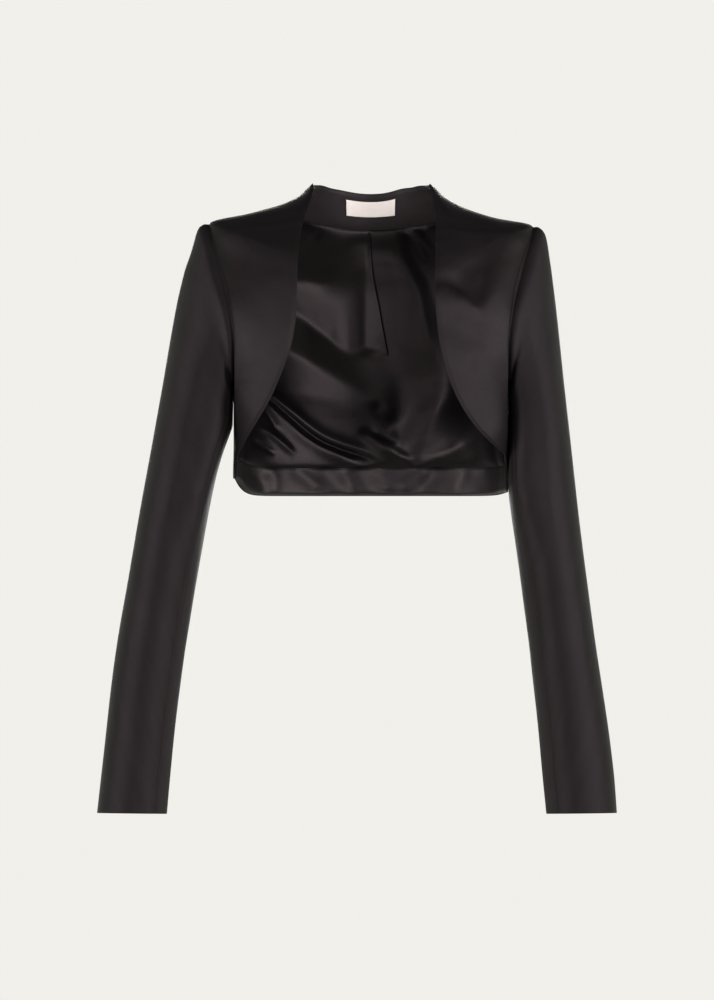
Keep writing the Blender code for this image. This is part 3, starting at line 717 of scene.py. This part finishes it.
BESIDE_ARM = [(-330, 148.5), (-205, 148), (-190, 148), (-162, 148), (-119, 152), (-67, 164), (-40, 172.5)]


def pressed_out(points, down, ends):
    """The cloth stands out where the arm lies against the body, and turns in sharply beside it."""
    heights, reach = zip(*BESIDE_ARM)
    gone = 1.4 * (through(heights, reach, np.clip(points[..., 2], -330, -40)) - np.abs(points[..., 0]))
    bump = ease(gone / 10) * gauss(np.maximum(gone - 10, 0), 27)
    return 5.0 * bump * ease((down - 245) / 70) * (1 - ease((down - ends) / 60))


def shoulder_fullness(across, down, side):
    """Towards the tip of the shoulder the front stands out a little under the shoulder line."""
    tip_across, tip_down, slope = (533, 228, 0.27) if side > 0 else (209, 225, 0.33)
    inside = side * (tip_across - across)
    under = down - tip_down + slope * inside
    return ease(under / 18) * (1 - ease((under - 18) / 60)) * ease((70 - inside) / 55)


def seam_fullness(down, from_seam):
    """Front and sleeve are both full right up to the armhole seam, so that it lies nearly level with them."""
    return 4.4 * ease((down - 226) / 22) * (1 - ease((down - 310) / 80)) * np.exp(-from_seam / 9)


def make_front(name, side):
    ws = stations(95, 1.5, True, True)
    rows = even_rows(lambda s: front_points(side, np.array([0.0, 0.5, 1.0]), s), 0, STAND_TOP, 2.2, True, True)
    p = front_points(side, ws, rows)
    turned = side > 0
    n = normals_of(p) * (-1 if turned else 1)
    from_seam, from_edge = run(p, 1), run(p[:, ::-1], 1)[:, ::-1]
    a, d = seen(p)
    lift = 0.25 * unevenness(p[..., 0], p[..., 2], 80, 21 if side > 0 else 22) * ease(from_seam / 20)
    relief = relief_height(a, d, FRONT_NET[side]) * ease((d - 204) / 16)
    lift += (relief + fold_height(a, d, FRONT_FOLDS[side])) * ease(from_seam / 6)
    lift += pressed_out(p, d, 425 if side > 0 else 395)
    lift += 2.4 * shoulder_fullness(a, d, side) * ease(from_seam / 14)
    lift -= 0.5 * gauss(from_seam - 0.8, 1.0)
    lift -= 1.2 * (1 - ease(from_edge / 5)) * ease(from_seam / 12)         # the open edge is rolled in
    thin = SHELL * (0.5 + 0.5 * ease(from_edge / 4))
    full = seam_fullness(d, from_seam) * ease(from_edge / 30)
    shape = p + n * lift[..., None] - full[..., None] * np.array([0.0, 1.0, 0.0])
    from_top = run(p[::-1], 0)[::-1]
    shape[..., 2] -= 2.2 * (1 - ease(from_top / 8)) * (1 - ease(from_edge / 9))          # rounded corner at the neck
    return cloth(name + "_cloth", name, SATIN, shape, thin,
                 ("last_column", "first_row", "last_row"), turned=turned)


# ---- sleeves --------------------------------------------------------------------------------------------------
# places on a sleeve: millimetres round it from the top line (forwards positive), and down from the origin
SLEEVE_FOLDS = {
    "right": [
        Fold([(60, 330), (92, 318), (120, 322)], 1.5, 8, 9),
        Fold([(-150, 320), (-110, 345), (-60, 352)], 2.2, 9, 12),
        Fold([(-140, 365), (-100, 392), (-55, 398)], 2.0, 9, 12),
        Fold([(-120, 420), (-80, 432), (-40, 430)], 1.6, 9, 12),
        Fold([(-150, 230), (-120, 252), (-80, 258)], 1.8, 9, 12),
    ],
    "left": [
        Fold([(62, 335), (92, 326), (118, 332)], 1.4, 8, 9),
        Fold([(-150, 316), (-112, 338), (-64, 348)], 2.2, 9, 12),
        Fold([(-138, 360), (-98, 386), (-52, 390)], 2.1, 9, 12),
        Fold([(-118, 415), (-84, 430), (-44, 426)], 1.5, 9, 12),
        Fold([(-150, 226), (-118, 246), (-84, 256)], 1.8, 9, 12),
    ],
}


def make_sleeve(wearer_side):
    side = 1 if wearer_side == "left" else -1
    rings = even_rows(lambda r: sleeve_points(wearer_side, np.array([0.0, 90.0, 270.0]), r), 0, len(SLEEVE_RINGS), 3.2, True, True)
    front_seam = armhole_angle(side, True, FRONT_SEAM_ROW)
    back_seam = armhole_angle(side, False, BACK_SEAM_ROW)
    pieces = []
    for prefix, lo, hi, width in (
        ("top_sleeve_", back_seam - 360.0, front_seam, 250.0),
        ("under_sleeve_", front_seam, back_seam, 80.0),
    ):
        angle = lo + (hi - lo) * stations(width, 2.6, True, True)
        p = sleeve_points(wearer_side, angle, rings)
        turned = side < 0
        n = normals_of(p) * (-1 if turned else 1)
        from_lo, from_hi, from_head = run(p, 1), run(p[:, ::-1], 1)[:, ::-1], run(p, 0)
        round_it = np.radians(angle)[None, :] * 52.0
        round_it = np.where(round_it > math.pi * 52.0, round_it - 2 * math.pi * 52.0, round_it)
        round_it = np.broadcast_to(round_it, p.shape[:2])
        seam = np.minimum(from_lo, from_hi)
        lift = 0.5 * unevenness(round_it, p[..., 2], 120, 31 if side > 0 else 32) * ease(seam / 14) * ease(from_head / 30)
        lift += fold_height(round_it, -p[..., 2], SLEEVE_FOLDS[wearer_side]) * ease(seam / 8)
        lift += 0.3 * gauss(from_head - 6, 4) * ease(from_head / 4)
        lift += 1.8 * gauss(round_it, 20) * ease(from_head / 5) * (1 - ease(from_head / 45))
        pressed = ease((-p[..., 2] - 90) / 70) * ease((380 + p[..., 2]) / 90) * ease(from_head / 12)
        lift += 1.5 * gauss((angle % 360.0 - 142.0)[None, :], 28.0) * pressed
        in_front = ease(np.sin(np.radians(angle))[None, :] / 0.4)
        lift -= 0.45 * gauss(seam - 1.2, 0.9) + 0.5 * gauss(from_head - 0.8, 1.0) * in_front
        full = seam_fullness(seen(p)[1], from_head) * in_front
        shape = p + n * lift[..., None] - full[..., None] * np.array([0.0, 1.0, 0.0])
        inward = p[0] - p[3]              # the first rows are tucked a little into the armhole
        inward = inward / np.linalg.norm(inward, axis=-1, keepdims=True)
        shape = shape + ((1 - ease(from_head / 2.5)) * 1.0)[..., None] * inward[None]
        pieces.append(cloth(prefix + wearer_side + "_cloth", prefix + wearer_side, SATIN,
                            shape, SHELL, ("last_row",), turned=turned))
    return pieces


# ---- inside of the back ----------------------------------------------------------------------------------------
PleatPoint = namedtuple("PleatPoint", "z start edge height")
PLEAT = [
    PleatPoint(-215, -13.0, 32.0, 0.0),
    PleatPoint(-163, -11.0, 31.2, 0.0),
    PleatPoint(-155, -8.0, 30.0, 1.3),
    PleatPoint(-138, -7.5, 26.2, 1.8),
    PleatPoint(-105, -7.0, 16.8, 1.6),
    PleatPoint(-60, -6.0, 3.4, 1.1),
    PleatPoint(-15, -4.0, -1.8, 0.7),
]

# Large folds left of the pleat: creases from the neck seam down to the hem seam
LINING_MIDDLE = 365
NECK_LEAN, HEM_LEAN = 5.5, 3.5
LINING_LEFT = [
    [(200, 230, 0), (298, 222, 0), (330, 225, 0), (365, 228, 0)],
    [(200, 250, 0), (280, 246, 1), (305, 243, 1), (338, 242, 0.4), (352, 241, -0.8), (365, 240, -1.8)],
    [(200, 270, 0.5), (280, 264, 1), (305, 262, 0.9), (320, 262, 0.8), (338, 262, 0.5), (352, 256, 0.1), (365, 252, -0.3)],
    [(200, 290, 0), (280, 284, -2.2), (305, 282, -2.3), (320, 284, -1.9), (338, 278, 0.1), (352, 270, 0.7), (365, 266, 1.8)],
    [(200, 302, 1), (280, 300, -0.2), (305, 299, -0.3), (320, 303, -0.4), (338, 300, -0.5), (350, 295, 0), (365, 290, 2.8)],
    [(200, 306, 2), (280, 311, 1.6), (296, 317, 1.5), (312, 329, 2), (326, 340, 2.4), (338, 349, 1.2), (346, 354, 0.6), (356, 352, 1.8), (365, 349, 4.2)],
    [(200, 314, 0), (280, 323, -2.2), (300, 332, -2.4), (320, 347, -1.6), (338, 359, -2.4), (350, 362, -1.8), (358, 361, -0.8), (365, 358, 0)],
    [(200, 330, -3), (272, 346, -10), (290, 353, -10.8), (306, 361, -11), (322, 370, -10), (338, 380, -10.2), (350, 387, -10.4), (358, 394, -9.8), (365, 401, -8)],
    [(200, 372, -3), (262, 378, -9.4), (285, 390, -10), (305, 396, -10.2), (325, 399, -9.6), (344, 405, -9.8), (358, 412, -9.2), (365, 418, -6.6)],
    [(200, 384, -2), (262, 390, -7.4), (285, 403, -8.7), (305, 408, -8.6), (325, 416, -7.8), (344, 424, -7.4), (358, 428, -6.8), (365, 430, -5.6)],
    [(200, 392, -1), (262, 396, -6), (285, 411, -7), (305, 424, -7), (325, 437, -5.4), (344, 445, -4.2), (365, 451, -3)],
    [(200, 459, 0), (300, 465, 0), (365, 468, 0)],
]
# and right of it: creases from the pleat to the wearer's left side, each as (down, across, height)
LINING_RIGHT = [
    [(226, 371, -1.6), (245, 372, -1.8), (262, 374, 0.4), (280, 377, 2.5), (300, 380, 3.0), (330, 386, 3.6), (350, 389, 3.9), (362, 389, 2.6), (382, 389, 0.4), (402, 388, -2.2), (412, 388, -2.8), (424, 386, -2.4), (440, 384, -0.6), (468, 380, 1)],
    [(226, 385, -1.6), (245, 388, -1.8), (262, 392, 0.4), (280, 396, 2.1), (300, 401, 2.4), (340, 404, 2.2), (366, 404, 3.2), (384, 405, 4.0), (404, 404, 4.0), (424, 398, 4.6), (444, 391, 4.2), (468, 386, 3)],
    [(226, 396, -2), (252, 402, -1.6), (270, 410, -0.6), (287, 418, -0.2), (308, 424, 0), (330, 430, -0.2), (355, 438, -0.2), (378, 447, -0.6), (392, 446, -2.8), (416, 432, -5.4), (440, 419, -4.6), (456, 411, -2.6), (468, 407, -1)],
    [(226, 407, 0), (252, 415, 1.4), (270, 424, 2.6), (287, 433, 2.9), (308, 440, 2.8), (330, 446, 2.2), (355, 454, 1.4), (378, 460, 0.6), (392, 462, -0.2), (416, 456, -0.2), (440, 446, 0.4), (456, 436, 0.5), (468, 430, 0.5)],
    [(226, 440, 0.5), (260, 446, 1.5), (300, 452, 2), (340, 458, 2.5), (375, 466, 2.2), (400, 476, 4.4), (424, 484, 6.4), (440, 476, 5), (452, 464, 3), (468, 450, 1)],
    [(226, 520, 0), (300, 520, 0), (468, 520, 0)],
]

LINING_FOLDS = [
    # twin ridges with a narrow valley between them
    Fold([(254, 388), (271, 400), (288, 413), (305, 427), (322, 438), (342, 446), (362, 452), (384, 462)], 3.0, 7, 2.6, 1.8, 0.08, 0.2),
    Fold([(256, 392), (272, 403), (289, 417), (306, 431), (322, 442), (342, 450), (360, 456), (378, 463)], -4.2, 3.0, 3.0, 1.1, 0.1, 0.2),
    Fold([(250, 394), (267, 407), (282, 419), (298, 433), (316, 445), (336, 454), (362, 465)], 3.2, 2.8, 8, 1.8, 0.1, 0.2),
    # small creases in the lower left corner
    Fold([(254, 404), (266, 418), (276, 436)], -1.8, 4, 4),
    Fold([(248, 424), (270, 437), (296, 458)], 2.2, 4, 4),
    Fold([(240, 438), (256, 446), (276, 456)], -1.6, 3.5, 3.5),
    # swags beside the pleat's end
    Fold([(375, 398), (380, 414), (390, 425), (404, 429)], 1.5, 6, 7, 2.0, 0.3, 0.3),
    Fold([(356, 430), (376, 442), (396, 455), (418, 464)], 2.6, 6, 6, 2.0, 0.2, 0.2),
    Fold([(368, 430), (383, 437), (402, 443)], -1.6, 5, 5),
    Fold([(420, 463), (446, 455), (474, 444)], 0.9, 6, 6),
    # small folds along the neck seam
    Fold([(404, 222), (417, 238), (432, 262)], 0.9, 4.5, 4.5),
    Fold([(412, 221), (425, 238), (438, 260)], -0.9, 4.5, 4.5),
    Fold([(422, 219), (434, 234), (446, 250)], 0.8, 4.5, 4.5),
    Fold([(320, 226), (309, 235), (296, 250)], 0.9, 4.5, 4.5),
    Fold([(311, 228), (302, 240), (292, 256)], -0.9, 4.5, 4.5),
]
HEM_FOLDS = [
    Fold([(236, 458), (252, 474), (272, 498)], -2.0, 8, 9),
    Fold([(262, 464), (270, 480), (268, 498)], 2.2, 8, 7),
    Fold([(286, 464), (304, 477), (326, 494)], -2.4, 6, 9),
    Fold([(316, 464), (331, 480), (342, 498)], 2.0, 9, 8),
    Fold([(340, 464), (350, 480), (360, 498)], -1.6, 7, 7),
    Fold([(352, 464), (362, 480), (370, 498)], 2.2, 8, 9),
    Fold([(376, 464), (386, 480), (390, 498)], -1.8, 9, 9),
    Fold([(432, 463), (415, 477), (396, 498)], -2.8, 9, 8),
    Fold([(448, 464), (434, 480), (420, 498)], 1.6, 8, 8),
    Fold([(470, 464), (462, 480), (452, 498)], -1.4, 8, 9),
    Fold([(482, 458), (496, 478), (510, 500)], -1.8, 9, 9),
]


def lining_facets(across, down):
    """Height of the large folds of the lining; the right part starts from the left part's last column."""
    rows = np.linspace(220, 470, 126)
    edge = facet_height(np.full(rows.shape, LINING_MIDDLE), rows, LINING_LEFT)
    first = [(y, LINING_MIDDLE, h) for y, h in zip(rows, edge)]
    total, weight = 0.0, 0.0
    for d in np.linspace(-2, 2, 7):
        x = across + d * (1.5 + 5.0 * ease((down - 340) / 40))
        left = facet_height(np.minimum(x, LINING_MIDDLE), down, LINING_LEFT)
        right = facet_height(np.clip(down, 222, 468), x, [first] + LINING_RIGHT, 1.5)
        w = math.exp(-0.5 * d * d)
        total, weight = total + w * np.where(x < LINING_MIDDLE, left, right), weight + w
    return total / weight


def pleat_columns():
    """Columns of the lining, with one that runs down the fold edge of the pleat and fine ones beside it."""
    half = np.array([0.0, 0.5, 1.0, 1.7, 2.6, 3.8] + list(np.arange(5.2, 118, 1.4)) + list(np.arange(121, 182, 3.4)) + [182.0])
    half = half / 182.0 * 0.985
    return np.concatenate([-half[::-1], half[1:]])


def make_lining():
    us = pleat_columns()
    rows = even_rows(lambda s: back_points(np.array([-0.5, 0.0, 0.5]), s), HEM_SEAM, NECK_SEAM, 1.45, True, True)
    heights = [q.z for q in PLEAT]
    middle_z = back_points(np.array([0.0]), rows)[:, 0, 2]
    z_in = np.clip(middle_z, heights[0], heights[-1])
    edge = through(heights, [q.edge for q in PLEAT], z_in)
    half_width = rings_at(rows).half_width[:, 0]
    shift = np.sign(edge) * (1 - np.arccos(np.clip(np.abs(edge) / half_width, 0, 1) ** 1.1) / (math.pi / 2))
    bent = us[None, :] + shift[:, None] * (1 - (us[None, :] / 0.985) ** 2) ** 2
    p = back_points(bent, rows)
    n = normals_of(p)                     # towards the inside
    a, d = seen(p)
    from_hem, from_neck = run(p, 0), run(p[::-1], 0)[::-1]
    from_side = np.minimum(run(p, 1), run(p[:, ::-1], 1)[:, ::-1])
    loose = (1 - np.exp(-from_neck / 9)) * (1 - np.exp(-from_hem / 12))
    lean = HEM_LEAN + (NECK_LEAN - HEM_LEAN) * ease(from_hem / 60)
    held = ease(from_hem / 7) * ease(from_side / 20)
    lift = 2.0 + (lean + 4.4 * loose) * ease(from_side / 20) + lining_facets(a, d) * held
    lift += fold_height(a, d, LINING_FOLDS) * ease(from_hem / 6) * ease(from_neck / 7)
    lift += 0.3 * unevenness(p[..., 0], p[..., 2], 60, 41) * held
    # pleat: the cloth sinks towards the fold edge of the other half, which stands over it
    z = np.clip(p[..., 2], heights[0], heights[-1])
    start = through(heights, [q.start for q in PLEAT], z)
    step = through(heights, [q.height for q in PLEAT], z) * ease(from_neck / 6)
    fold_x = p[:, len(us) // 2, 0][:, None]
    x = p[..., 0]
    t = np.clip((x - start) / np.maximum(fold_x - start, 0.5), 0.0, 1.0)
    sunk = -np.where(t < 0.12, t * t / 0.24, t - 0.06)
    past = np.maximum(x - fold_x, 0)
    over = -0.94 * np.exp(-past / 0.6)
    lift += step * np.where(x <= fold_x, sunk, over)
    lift = np.maximum(lift, 0.9) - 0.5 * (gauss(from_hem, 1.6) + gauss(from_neck, 1.6))
    return cloth("back_lining_cloth", "back_lining", LINING_CLOTH,
                 p + n * (SHELL + lift)[..., None], LINING)


def neck_lean(rows):
    """The neck facing stands away from the back at its lower edge, where the lining is sewn to it."""
    return NECK_LEAN * ease((STAND_TOP - rows) / (STAND_TOP - NECK_SEAM))[:, None]


def make_facing(name, lo, hi, material, folds, free, seed):
    us = np.concatenate([-(1 - stations(185, 2.2, True)), (1 - stations(185, 2.2, True))[::-1][1:]]) * 0.985
    rows = even_rows(lambda s: back_points(np.array([-0.5, 0.0, 0.5]), s), lo, hi, 1.6, True, True)
    p = back_points(us, rows)
    n = normals_of(p)
    a, d = seen(p)
    from_lo, from_hi = run(p, 0), run(p[::-1], 0)[::-1]
    from_side = np.minimum(run(p, 1), run(p[:, ::-1], 1)[:, ::-1])
    lift = 2.4 + 0.35 * unevenness(p[..., 0], p[..., 2], 42, seed) + fold_height(a, d, folds)
    lean = neck_lean(rows) if lo == NECK_SEAM else HEM_LEAN * ease(from_lo / 2.2)
    lift += lean * ease(from_side / 20)
    lift -= 0.6 * gauss(from_hi if "last_row" not in free else from_lo, 1.6)
    lift -= 1.2 * gauss(from_lo if "last_row" not in free else from_hi, 2.0)
    return cloth(name + "_cloth", name, material, p + n * (SHELL + lift)[..., None], LINING, free)


def make_label():
    """A plain woven label, folded under at both ends and sewn down on the neck facing."""
    width, height, top = 58.0, 14.8, 13.5
    dense = np.linspace(SHOULDER_TIP, STAND_TOP, 800)
    level = back_points(np.array([0.0]), dense)[:, 0, 2]
    z = top - height * (1 - stations(height, 0.5, True, True))
    rows = np.interp(z, level, dense)
    x = width * (stations(width, 0.8, True, True) - 0.5)
    half_width = rings_at(rows).half_width
    u = np.sign(x)[None, :] * (1 - np.arccos(np.clip(np.abs(x)[None, :] / half_width, 0, 1)) / (math.pi / 2))
    p = back_points(u, rows)
    n = normals_of(p)
    from_end = np.minimum(run(p, 1), run(p[:, ::-1], 1)[:, ::-1])
    from_long = np.minimum(run(p, 0), run(p[::-1], 0)[::-1])
    lift = 4.4 + neck_lean(rows) + 0.35 * ease((4.5 - from_end) / 1.0) + 0.12 * unevenness(p[..., 0], p[..., 2], 25, 51)
    lift -= 0.25 * gauss(from_long, 0.8)
    return cloth("label_cloth", "label", LABEL_CLOTH, p + n * (SHELL + lift)[..., None], LABEL,
                 ("first_row", "last_row", "first_column", "last_column"))


back = make_back()
front_right, front_left = make_front("front_right", -1), make_front("front_left", 1)
top_right, under_right = make_sleeve("right")
top_left, under_left = make_sleeve("left")
lining = make_lining()
neck_facing = make_facing("neck_facing", NECK_SEAM, STAND_TOP, NECK_CLOTH, [], ("last_row",), 61)
hem_facing = make_facing("hem_facing", 0, HEM_SEAM, FACING_CLOTH, HEM_FOLDS, ("first_row",), 62)
label = make_label()

# ---- plain pale floor and soft studio light --------------------------------------------------------------------
PALE = (0.879, 0.871, 0.823, 1.0)


def make_stage():
    """A round cove: pale floor that runs up into a pale wall, greyer on the side the light comes from."""
    profile = [(r, -1.0) for r in (0.0, 0.4, 0.8, 1.2, 1.6, 2.0, 2.4, 2.8, 3.2)]
    profile += [(3.2 + 1.2 * math.sin(t), -1.0 + 1.2 * (1 - math.cos(t))) for t in np.radians(np.arange(10, 91, 10))]
    profile += [(4.4, 0.8), (4.4, 1.4), (4.4, 2.0), (4.4, 2.6)]
    turns = 96
    points, faces = [], []
    for k in range(turns):
        t = 2 * math.pi * k / turns
        points += [(r * math.cos(t), r * math.sin(t), z) for r, z in profile]
    m = len(profile)
    for k in range(turns):
        for i in range(m - 1):
            a, b = k * m + i, ((k + 1) % turns) * m + i
            faces.append((a, b, b + 1, a + 1) if i else (a, b + 1, a + 1))
    mesh = bpy.data.meshes.new("studio_cove")
    mesh.from_pydata(points, [], faces)
    mesh.polygons.foreach_set("use_smooth", np.ones(len(faces), bool))
    y = np.array(points)[:, 1]
    share = 1.0 - 0.6 * ease((-0.25 - y) / 1.1)
    tone = mesh.color_attributes.new("tone", "FLOAT_COLOR", "POINT")
    tone.data.foreach_set("color", np.concatenate([share[:, None] * np.array([PALE[:3]]), np.ones((len(y), 1))], axis=1).astype(np.float32).ravel())
    mat = bpy.data.materials.new("cove_pale")
    mat.use_nodes = True
    shader = mat.node_tree.nodes["Principled BSDF"]
    shader.inputs["Base Color"].default_value = (0.0, 0.0, 0.0, 1.0)
    shader.inputs["Specular IOR Level"].default_value = 0.0
    shader.inputs["Emission Strength"].default_value = 1.0
    colour = mat.node_tree.nodes.new("ShaderNodeVertexColor")
    colour.layer_name = "tone"
    mat.node_tree.links.new(colour.outputs["Color"], shader.inputs["Emission Color"])
    mesh.materials.append(mat)
    obj = bpy.data.objects.new("studio_cove", mesh)
    scene.collection.objects.link(obj)


def softbox(name, place, target, size, watts):
    light = bpy.data.lights.new(name, "AREA")
    light.shape = "RECTANGLE"
    light.size, light.size_y = size
    light.energy = watts
    obj = bpy.data.objects.new(name, light)
    obj.location = place
    direction = np.array(target) - np.array(place)
    yaw = math.atan2(direction[1], direction[0]) - math.pi / 2
    tilt = math.atan2(direction[2], math.hypot(direction[0], direction[1]))
    obj.rotation_euler = (math.pi / 2 + tilt, 0.0, yaw)
    scene.collection.objects.link(obj)


make_stage()
softbox("key_right", (1.2, -2.68, 0.0), (0, 0, -0.25), (1.8, 0.95), 65)
softbox("side_right", (2.6, -1.55, -0.1), (0, 0, -0.25), (1.6, 1.3), 95)
softbox("side_left", (-2.5, -1.75, -0.1), (0, 0, -0.25), (1.8, 1.3), 104)
softbox("front_left", (-0.65, -3.0, -0.1), (0, 0, -0.25), (1.8, 1.2), 19.5)
softbox("fill_back", (0.0, 3.0, 0.2), (0, 0, -0.3), (2.4, 2.0), 110)
world = bpy.data.worlds.new("studio")
world.use_nodes = True
world.node_tree.nodes["Background"].inputs["Color"].default_value = (0.08, 0.08, 0.08, 1.0)
scene.world = world
